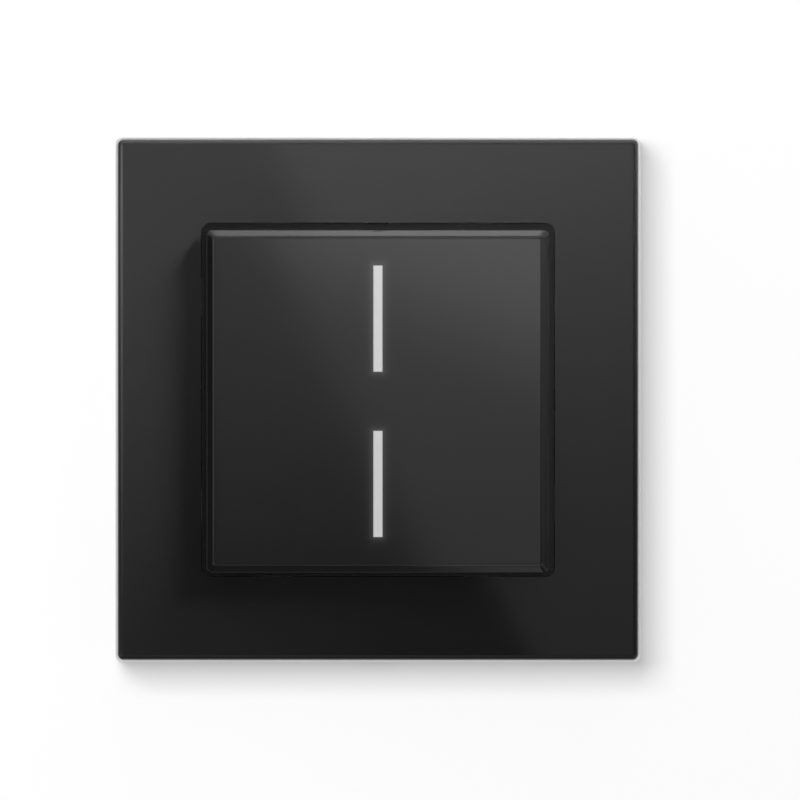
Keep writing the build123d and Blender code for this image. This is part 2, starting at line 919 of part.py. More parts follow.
def fuse():
    outline = Pos(fuse_x, -(part_rear() - part_gap - fuse_r)) * Circle(fuse_r)
    return extrude(Plane.XY.offset(fuse_z) * outline, amount=fuse_length / 2, both=True)


# Terminals


def block_rear():
    return -insert_depth - block_proud


def cell_rear():
    return part_rear() - cell_deep


def terminal_bar_z():
    return block_z - cell_h / 2 + bar_sheet / 2 + part_gap


def terminal_block():
    block = slab(Pos(0, block_z) * Rectangle(block_w, block_h), block_rear(), part_rear())
    block = chamfer(front_edges(block, block_rear()), block_bevel)
    for x in pole_places():
        block -= slab(Pos(x, block_z) * Rectangle(cell_w, cell_h), cell_rear(), part_rear())
        for side in (-1, 1):
            place = Pos(x + side * entry_pitch / 2, entry_z)
            block -= slab(place * Rectangle(entry_side, entry_side), block_rear(), cell_rear())
            mouth = wall_plane(block_rear()) * place * Rectangle(entry_side + funnel, entry_side + funnel)
            throat = wall_plane(block_rear() + funnel) * place * Rectangle(entry_side, entry_side)
            block -= loft([mouth, throat], ruled=True)
        nub_hole = Rectangle(nub_w + 2 * lever_play, nub_h + 2 * lever_play)
        block -= slab(Pos(x, lever_z) * nub_hole, block_rear(), cell_rear())
    for side in (-1, 1):
        pocket = Rectangle(lever_w + 2 * lever_play, lever_h + 2 * lever_play)
        end = block_rear() + lever_deep + lever_travel - lever_proud + lever_play
        block -= slab(Pos(side * pole_pitch, lever_z) * pocket, block_rear(), end)
    return block


def release_lever(side):
    rear = block_rear() - lever_proud
    front = rear + lever_deep
    x = side * pole_pitch
    lever = slab(Pos(x, lever_z) * RectangleRounded(lever_w, lever_h, lever_play), rear, front)
    for pole in (x - pole_pitch / 2, x + pole_pitch / 2):
        lever += slab(Pos(pole, lever_z) * Rectangle(nub_w, nub_h), front, front + nub_length)
    return lever


def terminal_bars():
    """A brass bar in each cell, with a pin that is soldered into the board."""
    bars = []
    for x in pole_places():
        place = Pos(x, terminal_bar_z())
        bar = slab(place * Rectangle(busbar_w, bar_sheet), cell_rear() + part_gap, part_rear())
        pin = slab(place * Rectangle(terminal_pin, terminal_pin), part_rear(), power_front + pin_tail)
        bars.append(bar + pin)
    return Compound(children=bars)


def terminal_clips():
    """A bent spring strip in each cell, whose tongue presses the wire on the bar."""
    top_z = block_z + cell_h / 2 - part_gap - clip_sheet / 2
    front = -(part_rear() - part_gap - clip_sheet / 2)
    bend = front + clip_roof
    tongue_z = terminal_bar_z() + bar_sheet + entry_side / 2
    line = Polyline((front, tongue_z), (front, top_z), (bend, top_z), (front + clip_tongue, tongue_z))
    clip = extrude(Plane.YZ * trace(line, line_width=clip_sheet), amount=clip_strip_w / 2, both=True)
    return copies(clip, [Pos(x, 0) for x in pole_places()])


# Claws


def claw_right():
    """A claw of bent sheet, hinged at its knuckle, that swings out when its foot is drawn forward."""
    pivot_y = -claw_pivot_out
    end_y = -claw_leg_end
    corners = [
        (claw_pivot_x, pivot_y),
        (claw_leg_x, pivot_y),
        (claw_leg_x, end_y),
        (claw_leg_x + claw_flare, end_y + claw_flare_deep),
    ]
    line = FilletPolyline(*corners, radius=claw_bend_r)
    outline = trace(line, line_width=claw_thick) + Pos(claw_pivot_x, pivot_y) * Circle(claw_knuckle_r)
    claw = extrude(Plane.XY * outline, amount=claw_w / 2, both=True)
    bore = Plane.XY * Pos(claw_pivot_x, pivot_y) * Circle(claw_pin_r + running)
    claw -= extrude(bore, amount=claw_w, both=True)
    inner = claw_screw_x - claw_screw_r - claw_slot_play
    opening = math.radians(claw_open_deg)
    arm = claw_screw_x - claw_pivot_x
    stretch = (arm + claw_screw_r) / math.cos(opening) + claw_thick / 2 * math.tan(opening)
    outer = claw_pivot_x + stretch + claw_slot_play
    slot = SlotOverall(outer - inner, 2 * (claw_screw_r + claw_slot_play))
    claw -= slab(Pos((inner + outer) / 2, 0) * slot, claw_pivot_out - claw_thick, claw_pivot_out + claw_thick)
    pitch = claw_w / claw_teeth
    tip_y = end_y + claw_flare_deep + claw_thick
    for i in range(claw_teeth):
        z = (i - (claw_teeth - 1) / 2) * pitch
        corners = [(tip_y, z - pitch / 2), (tip_y, z + pitch / 2), (tip_y - 2 * claw_tooth, z)]
        notch = Polygon(*corners, align=None)
        claw -= extrude(Plane.YZ.offset(claw_leg_x + claw_flare) * notch, amount=3 * claw_thick, both=True)
    return claw


def claw_pins():
    return claw_pin_bar(claw_pin_r, channel_half_z + insert_wall)


def claw_screw(side):
    """A pan-head screw with a cross recess. Its head bears on the ring."""
    seat = ring_thick + claw_seat_gap
    top = seat + claw_head
    place = Pos(side * claw_screw_x, 0)
    head = slab(place * Circle(claw_head_r), seat, top)
    head = chamfer(front_edges(head, top), claw_head_bevel)
    cross = Rectangle(cross_length, cross_w) + Rectangle(cross_w, cross_length)
    head -= slab(place * cross, top - cross_deep, top)
    shank = slab(place * Circle(claw_screw_r), claw_screw_end, seat)
    return head + chamfer(front_edges(shank, claw_screw_end), claw_screw_point)


# Write one STEP file for each piece

os.makedirs("parts", exist_ok=True)
save("support_ring", support_ring())
save("frame_carrier", frame_carrier())
save("glass_bond", glass_bond())
save("glass_panel", glass_panel())
save("rocker_cap", rocker_cap())
save("rocker_bridge", rocker_bridge())
for half, bar_z in bar_places().items():
    save(f"light_bar_{half}", light_bar(bar_z))
    save(f"light_duct_{half}", light_duct(bar_z))
save("module_cover", module_cover())
save("module_base", module_base())
save("module_screws", module_screws())
save("control_board", control_board())
save("status_leds", status_leds())
save("controller_chip", controller_chip())
save("radio_shield", radio_shield())
save("spring_plate", spring_plate())
for half, up in (("upper", 1), ("lower", -1)):
    save(f"snap_domes_{half}", snap_domes(up))
    for hand, side in (("left", -1), ("right", 1)):
        save(f"plunger_{half}_{hand}", plunger(Pos(side * foot_place, up * foot_place)))
save("link_socket", link_socket())
save("link_header", link_header())
save("link_pins", link_pins())
save("rear_housing", rear_housing())
save("housing_lid", housing_lid())
save("ring_screws", ring_screws())
save("power_board", power_board())
save("board_screws", board_screws())
save("relay", relay())
save("transformer_core", transformer_core())
save("transformer_bobbin", transformer_bobbin())
save("filter_capacitor", filter_capacitor())
save("bulk_capacitor", bulk_capacitor())
save("varistor", varistor())
save("fuse", fuse())
save("terminal_block", terminal_block())
save("terminal_bars", terminal_bars())
save("terminal_clips", terminal_clips())
right_claw = claw_right()
save("claw_right", right_claw)
save("claw_left", mirror(right_claw, about=Plane.YZ))
save("claw_pins", claw_pins())
for hand, side in (("left", -1), ("right", 1)):
    save(f"claw_screw_{hand}", claw_screw(side))
    save(f"release_lever_{hand}", release_lever(side))
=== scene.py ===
# %% [markdown]
# # A flush push button switch, dressed for its portrait
#
# The CAD model of the switch is already packed: every solid stands where it belongs, in metres.
# This lesson gives the solids their finishes, models the pieces whose edges catch the light again
# with finer edges, and sets up a camera, a wall and soft studio light like those of the
# photograph.

# %% Load the packed frame
import math

import bmesh
import bpy
from mathutils import Matrix, Vector


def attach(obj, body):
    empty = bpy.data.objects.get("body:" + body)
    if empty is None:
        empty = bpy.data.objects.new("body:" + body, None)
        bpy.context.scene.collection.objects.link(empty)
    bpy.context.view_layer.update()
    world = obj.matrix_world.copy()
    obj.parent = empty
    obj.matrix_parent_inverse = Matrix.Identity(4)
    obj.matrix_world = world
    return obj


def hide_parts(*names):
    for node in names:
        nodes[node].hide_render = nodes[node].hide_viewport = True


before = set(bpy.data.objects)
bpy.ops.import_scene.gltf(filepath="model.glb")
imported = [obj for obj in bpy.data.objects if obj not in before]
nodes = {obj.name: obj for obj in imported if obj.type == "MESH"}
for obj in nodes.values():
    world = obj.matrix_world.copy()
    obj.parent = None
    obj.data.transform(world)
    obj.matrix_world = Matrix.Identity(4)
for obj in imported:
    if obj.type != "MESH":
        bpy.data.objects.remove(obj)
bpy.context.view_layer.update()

# %% [markdown]
# The pieces that are modelled again below take their places from the solids they stand for, so the
# lesson measures a solid where it needs one.

# %% Measure a solid
MM = 0.001


def corners_round(places):
    """The lowest and the highest corner of the box round some places."""
    return [Vector([end(p[i] for p in places) for i in range(3)]) for end in (min, max)]


def ends(name):
    """The lowest and the highest corner of a solid, in metres."""
    return corners_round([v.co for v in nodes[name].data.vertices])


def centre(name):
    """The middle of a solid's box, in metres."""
    low, high = ends(name)
    return (low + high) / 2


print("rocker's middle, mm:", [round(v / MM, 2) for v in centre("rocker_cap")])

# %% [markdown]
# ## The camera
#
# The photograph looks straight at the wall, and the frame's pale rim shows evenly on all four
# sides, so the camera was far away or had a very long lens. Five metres and a matching lens give
# the same picture. The switch is a little left of the middle, so the camera stands a little to its
# right.

# %% Set up the camera
picture_width = 124.7 * MM
camera_distance = 5.0
camera_x = 3.43 * MM
camera_z = -0.04 * MM
sensor_width = 36

lens = bpy.data.cameras.new("long_lens")
lens.sensor_width = sensor_width
lens.lens = sensor_width * camera_distance / picture_width
lens.clip_end = 4 * camera_distance
camera = bpy.data.objects.new("camera", lens)
camera.location = (camera_x, -camera_distance, camera_z)
camera.rotation_euler = (math.radians(90), 0, 0)
bpy.context.scene.collection.objects.link(camera)
bpy.context.scene.camera = camera
bpy.context.scene.view_settings.view_transform = "Standard"
print("lens, mm:", round(lens.lens))

# %% [markdown]
# ## Shader maths in plain Python
#
# A finish is a graph of nodes, which is tedious to wire by hand. The small class below wraps an
# output socket, so that `1 - mask * 0.5` adds the Math nodes by itself. Its one method `node`
# makes any other node: its settings come first, then the values or links of its sockets.

# %% A socket that joins in arithmetic
class Wire:
    """An output socket of a node tree. Sums and products of wires add Math nodes."""

    def __init__(self, tree, socket=None):
        self.tree = tree
        self.socket = socket

    def node(self, kind, settings=None, inputs=None, out=0):
        """Adds a node and returns one of its outputs, chosen by its place or its name."""
        made = self.tree.nodes.new("ShaderNode" + kind)
        for name, value in (settings or {}).items():
            setattr(made, name, value)
        for key, value in (inputs or {}).items():
            if isinstance(value, Wire):
                self.tree.links.new(value.socket, made.inputs[key])
            else:
                made.inputs[key].default_value = value
        return Wire(self.tree, made.outputs[out] if made.outputs else None)

    def math(self, operation, *values):
        return self.node("Math", {"operation": operation}, dict(enumerate(values)))

    def __add__(self, other):
        return self.math("ADD", self, other)

    __radd__ = __add__

    def __sub__(self, other):
        return self.math("SUBTRACT", self, other)

    def __rsub__(self, other):
        return self.math("SUBTRACT", other, self)

    def __mul__(self, other):
        return self.math("MULTIPLY", self, other)

    __rmul__ = __mul__

    def __truediv__(self, other):
        return self.math("DIVIDE", self, other)

    def __pow__(self, other):
        return self.math("POWER", self, other)

    def mix(self, low, high):
        """The colour low where this is 0, high where it is 1, and between them in between."""
        # A Mix node has its two colours in sockets 6 and 7, and their blend in output 2.
        return self.node("Mix", {"data_type": "RGBA"}, {0: self, 6: low, 7: high}, out=2)

    def soft(self, low, high):
        """0 below low and 1 above high, with a smooth step between."""
        settings = {"interpolation_type": "SMOOTHSTEP"}
        return self.node("MapRange", settings, {0: self, 1: low, 2: high})


print("a wire can:", [name for name in vars(Wire) if not name.startswith("__")])

# %% Helpers that start and end a finish
def blank(name):
    """A material with an empty graph, and a wire to build on."""
    material = bpy.data.materials.new(name)
    material.use_nodes = True
    material.node_tree.nodes.clear()
    return material, Wire(material.node_tree)


def seal(wire, shader):
    """Links the finished shader to the material's output."""
    wire.node("OutputMaterial", None, {"Surface": shader})


def own_place(wire):
    """Object coordinates: the place on the piece, in metres."""
    return wire.node("TexCoord", out="Object")


def xyz(wire, coordinates):
    """The three numbers of a coordinate."""
    return [wire.node("SeparateXYZ", None, {0: coordinates}, out=i) for i in range(3)]


def grey(level):
    """A colour without a tint."""
    return (level, level, level, 1)


print("shader helpers:", [helper.__name__ for helper in (blank, seal, own_place, xyz, grey)])

# %% [markdown]
# ## Finishes
#
# A moulded piece is never one flat colour. The mould's walls are eroded by sparks, which leaves a
# fine even grain, and the molten plastic flows in faint clouds. `moulded` makes such a finish from
# a colour and a roughness: the grain goes into the relief and the roughness, the clouds into the
# colour. All patterns are laid out in the piece's own metres, so their scale is that of the real
# thing.

# %% Patterns that several finishes share
finishes = {}


def noise(wire, place, size, detail=2.0):
    """Soft noise whose blots are about `size` metres wide."""
    return wire.node("TexNoise", None, {"Vector": place, "Scale": 1 / size, "Detail": detail})


def streaky(wire, place, per_metre, detail=2.0):
    """Noise with its own number of blots per metre along each axis, so it becomes long or fine."""
    inputs = {"Vector": place, "Scale": per_metre}
    stretched = wire.node("Mapping", {"vector_type": "POINT"}, inputs)
    return noise(wire, stretched, 1.0, detail)


def cells(wire, place, size, scatter=1.0, measure="EUCLIDEAN", out="Distance"):
    """Cells round scattered centres, about `size` metres apart."""
    inputs = {"Vector": place, "Scale": 1 / size, "Randomness": scatter}
    return wire.node("TexVoronoi", {"distance": measure}, inputs, out=out)


def relief_of(wire, height, depth, strength):
    """The direction of a surface that a height of 1 raises by `depth` metres."""
    return wire.node("Bump", None, {"Strength": strength, "Distance": depth, "Height": height})


def shaded(colour, factor):
    """A colour made lighter or darker, with its alpha."""
    return tuple(min(c * factor, 1) for c in colour[:3]) + (1,)


def coat_of(wire, colour, rough, relief, fixed):
    """The Principled shader with its varying colour, roughness and relief, and fixed numbers."""
    sockets = {"Base Color": colour, "Roughness": rough, "Normal": relief}
    sockets.update(fixed)
    return wire.node("BsdfPrincipled", None, sockets)


print("pattern helpers:", [helper.__name__ for helper in (noise, streaky, cells, relief_of)])

# %% Moulded plastic
plastic_ior = 1.49
cloud_size = 9 * MM
grain_depth = 0.02 * MM
grain_sheen = 0.16
cloud_sheen = 0.06


def moulded(name, colour, rough, grain=0.35, grain_size=0.25 * MM, cloud=0.07):
    """A moulded plastic: spark-eroded grain, and faint flow clouds in its colour."""
    material, wire = blank(name)
    place = own_place(wire)
    clouds = noise(wire, place, cloud_size, detail=3.0)
    grains = noise(wire, place, grain_size)
    tone = clouds.mix(shaded(colour, 1 - cloud), shaded(colour, 1 + cloud))
    relief = relief_of(wire, grains, grain_depth, grain)
    rough_here = rough + (grains - 0.5) * grain_sheen + (clouds - 0.5) * cloud_sheen
    seal(wire, coat_of(wire, tone, rough_here, relief, {"IOR": plastic_ior}))
    finishes[name] = material


moulded("carrier_plastic", (0.66, 0.66, 0.67), rough=0.42, grain=0.2)
moulded("bridge_grey", (0.06, 0.06, 0.065), rough=0.5)
moulded("module_black", (0.012, 0.012, 0.013), rough=0.2, grain=0.05, grain_size=0.3 * MM)
moulded("housing_grey", (0.42, 0.43, 0.44), rough=0.48, grain=0.45, grain_size=0.3 * MM)
moulded("terminal_grey", (0.2, 0.21, 0.22), rough=0.45)
moulded("lever_orange", (0.85, 0.3, 0.05), rough=0.4, grain=0.25)
moulded("plug_black", (0.03, 0.03, 0.03), rough=0.45)
moulded("relay_plastic", (0.04, 0.05, 0.07), rough=0.35, grain=0.2)
moulded("chip_black", (0.03, 0.03, 0.03), rough=0.6, grain=0.6, grain_size=0.12 * MM)
moulded("plunger_white", (0.82, 0.81, 0.78), rough=0.3, grain=0.1)
moulded("duct_white", (0.85, 0.85, 0.84), rough=0.5, grain=0.2)
moulded("film_yellow", (0.78, 0.62, 0.1), rough=0.4, grain=0.2)
moulded("bond_black", (0.015, 0.015, 0.015), rough=0.8, grain=0.8, grain_size=0.15 * MM)
plastics = len(finishes)
print("moulded finishes:", plastics)

# %% [markdown]
# ## Metals
#
# Sheet steel carries the fine parallel lines of the rolling mill. Zinc from a hot bath also
# freezes in large crystals, each reflecting a little differently. `rolled` draws both: noise
# squeezed in one direction for the lines, and Voronoi cells for the crystals.

# %% Rolled and plated metal
crystal_size = 3 * MM
stain_size = 6 * MM
line_depth = 0.01 * MM
line_sheen = 0.2
stain_sheen = 0.12
darkest_line, brightest_line = 0.86, 1.1


def rolled(name, colour, rough, lines=(60, 2600, 2600), spangle=0.0, relief_by=0.25):
    """A metal sheet with rolling lines and, where it is zinc plated, crystals."""
    material, wire = blank(name)
    place = own_place(wire)
    streaks = streaky(wire, place, lines, detail=3.0)
    crystal = xyz(wire, cells(wire, place, crystal_size, out="Color"))[0]
    stains = noise(wire, place, stain_size, detail=4.0)
    level = 0.5 + (streaks - 0.5) * 0.5 + (crystal - 0.5) * spangle
    tone = level.mix(shaded(colour, darkest_line), shaded(colour, brightest_line))
    relief = relief_of(wire, streaks, line_depth, relief_by)
    rough_here = rough + (streaks - 0.5) * line_sheen + (crystal - 0.5) * line_sheen * spangle
    rough_here = rough_here + (stains - 0.5) * stain_sheen
    seal(wire, coat_of(wire, tone, rough_here, relief, {"Metallic": 1.0}))
    finishes[name] = material


rolled("zinc_steel", (0.62, 0.64, 0.67), rough=0.36, spangle=0.5)
rolled("spring_steel", (0.58, 0.58, 0.6), rough=0.28, lines=(2600, 60, 2600))
rolled("tin_sheet", (0.72, 0.72, 0.70), rough=0.3, lines=(2200, 2200, 80))
rolled("screw_steel", (0.66, 0.66, 0.62), rough=0.3, lines=(900, 900, 900), relief_by=0.15)
rolled("pin_brass", (0.80, 0.62, 0.28), rough=0.25, lines=(900, 900, 900), relief_by=0.1)
rolled("terminal_brass", (0.78, 0.60, 0.30), rough=0.35, lines=(80, 2400, 2400))
print("metals:", len(finishes) - plastics)

# %% [markdown]
# ## Parts on the boards
#
# The circuit boards are green lacquer over copper tracks. Square contour lines round scattered
# centres look like tracks at this size, and they also raise the lacquer a little.

# %% Board lacquer with tracks
island_size = 7 * MM
track_spacing = 0.07
track_edge = (0.030, 0.036)
pad_edge = (0.16, 0.19)
pad_spacing = 2.6 * MM
lacquer_depth = 0.03 * MM
lacquer_rough = 0.32
track_height, pad_height, fibre_height = 0.6, 0.8, 0.12
bare_lacquer = (0.012, 0.085, 0.04, 1)
lacquer_on_copper = (0.03, 0.17, 0.075, 1)
tin = (0.66, 0.66, 0.64, 1)


def lacquered_board(name):
    """Green solder lacquer over copper tracks, with small tinned pads."""
    material, wire = blank(name)
    place = own_place(wire)
    reach = cells(wire, place, island_size, scatter=0.85, measure="CHEBYCHEV")
    tracks = wire.math("PINGPONG", reach, track_spacing).soft(*track_edge)
    pads = 1 - cells(wire, place, pad_spacing, scatter=0.5).soft(*pad_edge)
    fibres = streaky(wire, place, (3000, 300, 300))
    tone = pads.mix(tracks.mix(bare_lacquer, lacquer_on_copper), tin)
    height = tracks * track_height + pads * pad_height + fibres * fibre_height
    relief = relief_of(wire, height, lacquer_depth, strength=0.5)
    rough_here = lacquer_rough + fibres * 0.1 - pads * 0.08
    seal(wire, coat_of(wire, tone, rough_here, relief, {"Metallic": pads}))
    finishes[name] = material


lacquered_board("board_green")
print("board finish:", finishes["board_green"].name)

# %% [markdown]
# Coils, capacitors and the fuse each have a skin of their own: tape wound in turns, a shrunk
# sleeve, dipped lacquer with an orange-peel surface. Bands need only one coordinate: it runs up and
# down between two values, and a soft step makes the two colours of it.

# %% Wound, sleeved and dipped skins
band_depth = 0.05 * MM
band_softness = 0.12
blot_size = 3 * MM
band_waver = 0.2
blot_sheen = 0.15
lacquer_ior = 1.5


def banded(name, colours, pitch, rough, axis, relief_by=0.4, share=0.5):
    """Turns side by side: fine bands of two colours across one axis, also in relief."""
    material, wire = blank(name)
    place = own_place(wire)
    along = xyz(wire, place)[axis]
    turn = wire.math("PINGPONG", along, pitch / 2) / (pitch / 2)
    cloud = noise(wire, place, blot_size, detail=3.0)
    wavering = turn + (cloud - 0.5) * band_waver
    mark = wavering.soft(share - band_softness, share + band_softness)
    tone = mark.mix(*[shaded(colour, 1.0) for colour in colours])
    relief = relief_of(wire, turn, band_depth, relief_by)
    rough_here = rough + (cloud - 0.5) * blot_sheen
    seal(wire, coat_of(wire, tone, rough_here, relief, {"IOR": lacquer_ior}))
    finishes[name] = material


tape_yellows = (0.75, 0.60, 0.12), (0.66, 0.50, 0.08)
ferrite_greys = (0.070, 0.070, 0.075), (0.055, 0.055, 0.06)
fuse_colours = (0.10, 0.30, 0.16), (0.42, 0.34, 0.05)
banded("winding_tape", tape_yellows, pitch=1.1 * MM, rough=0.25, axis=1)
banded("ferrite", ferrite_greys, pitch=0.5 * MM, rough=0.6, axis=2, relief_by=0.15)
banded("fuse_green", fuse_colours, pitch=2.4 * MM, rough=0.35, axis=2, relief_by=0.05, share=0.8)
moulded("varistor_blue", (0.05, 0.14, 0.42), rough=0.28, grain=0.5, grain_size=0.9 * MM)
moulded("sleeve_black", (0.03, 0.03, 0.04), rough=0.3, grain=0.15, grain_size=0.8 * MM)
moulded("led_white", (0.9, 0.85, 0.55), rough=0.35, grain=0.3, grain_size=0.1 * MM)
print("finishes so far:", len(finishes))

# %% [markdown]
# ## The gloss black pieces
#
# The frame is black-printed glass and the rocker is black plastic polished like a piano lid. Both
# look almost alike: nearly no colour of their own, and a clear reflection. Only small things tell
# them apart, such as the lit bars' glow painted on the rocker, which fades within a millimetre.

# %% The bars' glow, painted on the rocker
bar_w = 1.3 * MM
bar_length = 16.4 * MM
bar_z = (centre("light_bar_upper").z - centre("light_bar_lower").z) / 2
rocker_drop = -centre("rocker_cap").z
glow_reach = 0.45 * MM
glow_level = 0.050


def painted_bar_glow(wire, place):
    """Painted light beside the bars: full at a bar's edge, and fading with the distance from it."""
    x, y, z = xyz(wire, place)
    beside = wire.math("MAXIMUM", wire.math("ABSOLUTE", x) - bar_w / 2, 0.0)
    off_middle = wire.math("ABSOLUTE", wire.math("ABSOLUTE", z + rocker_drop) - bar_z)
    beyond = wire.math("MAXIMUM", off_middle - bar_length / 2, 0.0)
    away = wire.math("SQRT", beside * beside + beyond * beyond)
    return glow_level * wire.math("EXPONENT", away * (-1 / glow_reach))


print("bars at, mm:", round(bar_z / MM, 2), "rocker lower by:", round(rocker_drop / MM, 2))
print("glow fades within, mm:", round(glow_reach / MM, 2))

# %% Polished black
dust_size = 0.5 * MM
haze_size = 14 * MM
haze_share = 0.06
polish_depth = 0.005 * MM
polish_marks = 0.02
polish_ior = 1.5


def polished_black(name, colour, rough, glowing=False):
    """Black with a polished surface, hardly marked. The rocker gets the bars' light painted on."""
    material, wire = blank(name)
    place = own_place(wire)
    dust = noise(wire, place, dust_size, detail=4.0)
    haze = noise(wire, place, haze_size, detail=3.0)
    tone = haze.mix(shaded(colour, 1 - haze_share), shaded(colour, 1 + haze_share))
    relief = relief_of(wire, dust, polish_depth, polish_marks)
    fixed = {"IOR": polish_ior}
    if glowing:
        # Painted glow: the bars' light on the rocker is emission of the rocker itself.
        fixed["Emission Color"] = painted_bar_glow(wire, place).mix(grey(0), grey(1))
        fixed["Emission Strength"] = 1.0
    rough_here = rough + (haze - 0.5) * polish_marks + (dust - 0.5) * polish_marks
    seal(wire, coat_of(wire, tone, rough_here, relief, fixed))
    finishes[name] = material


polished_black("glass_black", (0.015, 0.015, 0.015), rough=0.045)
polished_black("rocker_black", (0.006, 0.006, 0.006), rough=0.06, glowing=True)
print("polished:", finishes["glass_black"].name, finishes["rocker_black"].name)

# %% [markdown]
# The bars are milky plastic with light sent in from behind. Light that really passed through them
# would need many samples and come out grainy, so the bars glow on their own, a little unevenly.

# %% The lit bars
milk_size = 0.6 * MM
milk_depth = 0.01 * MM
dimmest, brightest = 0.46, 0.51
unlit_grey = 0.10
bar_rough = 0.35
milk_sheen = 0.1

lit_material, wire = blank("light_guide")
milk = noise(wire, own_place(wire), milk_size, detail=3.0)
relief = relief_of(wire, milk, milk_depth, strength=0.1)
lit_look = {"Emission Color": milk.mix(grey(dimmest), grey(brightest)),
            "Emission Strength": 1.0, "IOR": plastic_ior}
rough_here = bar_rough + (milk - 0.5) * milk_sheen
seal(wire, coat_of(wire, grey(unlit_grey), rough_here, relief, lit_look))
finishes["light_guide"] = lit_material
print("finishes in all:", len(finishes))

# %% [markdown]
# Every solid came with empty materials in named slots. A slot's name says which finish goes there,
# so the whole switch is dressed in one loop.

# %% Dress every solid of the CAD model
for node in nodes.values():
    for dressed in node.material_slots:
        finish = dressed.material.name.split(".")[0]
        dressed.material = finishes[finish]
print("dressed:", len(nodes))

# %% [markdown]
# ## The glass frame
#
# The frame is one square sheet of glass with a square hole. Its outer edge is ground to a small
# round, and the hole's edge is only broken. The CAD solid has the right size, but these edges
# carry all the light in the photograph, so the sheet is modelled again with smooth rounds: two
# rounded squares are bridged to a ring, the ring is pushed back to its thickness, and its edges
# are bevelled.

# %% Rounded squares and rings
touching = 1e-7


def rounded_square(bm, half, radius, out, segments):
    """A rounded square that faces the room, `out` metres in front of the wall."""
    made = bmesh.ops.create_grid(bm, x_segments=1, y_segments=1, size=half)
    corners = made["verts"]
    turn = Matrix.Rotation(math.radians(90), 3, "X")
    bmesh.ops.rotate(bm, cent=(0, 0, 0), matrix=turn, verts=corners)
    bmesh.ops.translate(bm, vec=(0, -out, 0), verts=corners)
    bmesh.ops.bevel(bm, geom=corners, offset=radius, offset_type="OFFSET", affect="VERTICES",
                    segments=segments, profile=0.5, material=-1)
    return [f for f in bm.faces if abs(f.calc_center_median().y + out) < touching][-1]


def ring_face(bm, outer, inner):
    """Bridges two outlines of equally many corners to a flat ring."""
    edges = list(outer.edges) + list(inner.edges)
    bmesh.ops.delete(bm, geom=[outer, inner], context="FACES_ONLY")
    return bmesh.ops.bridge_loops(bm, edges=edges)["faces"]


def push(bm, faces, depth):
    """Extrudes faces straight back, towards the wall."""
    made = bmesh.ops.extrude_face_region(bm, geom=faces, use_keep_orig=True)["geom"]
    rear = [g for g in made if isinstance(g, bmesh.types.BMVert)]
    bmesh.ops.translate(bm, vec=(0, depth, 0), verts=rear)


print("outline helpers:", [helper.__name__ for helper in (rounded_square, ring_face, push)])

# %% [markdown]
# Only three rims of the ring are rounded: the outer one in front, the opening's and the outer one
# behind. A rim is found by its plane and its distance from the middle, never by a number in a list,
# because such numbers change as soon as a corner gets one step more.

# %% Edges to round off
inside_reach = 1.0 * MM
outside_reach = 0.5 * MM
least_fold = 0.5


def rim_at(bm, out, half):
    """The rim of a plane `out` in front of the wall that lies about `half` from the middle."""
    low, high = half - inside_reach, half + outside_reach
    found = []
    for edge in bm.edges:
        reach = [max(abs(v.co.x), abs(v.co.z)) for v in edge.verts]
        flat = all(abs(v.co.y + out) < touching for v in edge.verts)
        # An edge across a face has the same plane on both sides, so it has no fold.
        folded = len(edge.link_faces) == 2 and edge.calc_face_angle(0) > least_fold
        if flat and folded and min(reach) > low and max(reach) < high:
            found.append(edge)
    return found


def round_off(bm, edges, offset, segments):
    """Rounds edges in place, and never further than their neighbours leave room for."""
    bmesh.ops.bevel(bm, geom=edges, offset=offset, offset_type="OFFSET", affect="EDGES",
                    segments=segments, profile=0.5, material=-1, clamp_overlap=True)


print("folds over, degrees:", round(math.degrees(least_fold)))

# %% [markdown]
# Every new piece takes the same last steps. Its doubles are merged and its faces turned outwards,
# its rounds are shaded smooth, and it gets the finish of its slot. Then it is attached to the body
# of the part it rides on, and the solids of the CAD model that it stands for are hidden.

# %% Make a piece of a finished mesh
sharp_angle = math.radians(40)
straight_on = 0.9999


def finish_piece(bm, name, body, slot, *replaced, smooth_below=1.0):
    """Turns a bmesh into a piece of the part: normals out, shading, finish and body.

    Faces of `smooth_below` square metres or more, and those that lie square to an axis, keep flat
    shading, so that the round beside them doesn't bend their reflection.
    """
    bmesh.ops.remove_doubles(bm, verts=bm.verts, dist=touching)
    bmesh.ops.recalc_face_normals(bm, faces=bm.faces)
    mesh = bpy.data.meshes.new(name)
    bm.to_mesh(mesh)
    bm.free()
    mesh.set_sharp_from_angle(angle=sharp_angle)
    for face in mesh.polygons:
        square_to_axis = max(abs(part) for part in face.normal) > straight_on
        face.use_smooth = face.area < smooth_below and not square_to_axis
    mesh.materials.append(finishes[slot])
    piece = bpy.data.objects.new(name, mesh)
    bpy.context.scene.collection.objects.link(piece)
    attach(piece, body)
    if replaced:
        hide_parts(*replaced)
    print(name, "faces:", len(mesh.polygons))
    return piece


# %% Model the glass
opening_half = 27.5 * MM
opening_corner = 1.4 * MM
opening_round = 0.03 * MM
glass_corner = 0.9 * MM
glass_round = 0.8 * MM
glass_rear_round = 0.3 * MM
glass_corner_steps = 12
largest_round = 60 * MM * MM

glass_low, glass_high = ends("glass_panel")
glass_half = glass_high.x
glass_front, glass_rear = -glass_low.y, -glass_high.y
print("glass, mm:", round(2 * glass_half / MM, 2), "wide, from", round(glass_rear / MM, 2), "to",
      round(glass_front / MM, 2), "in front of the wall")

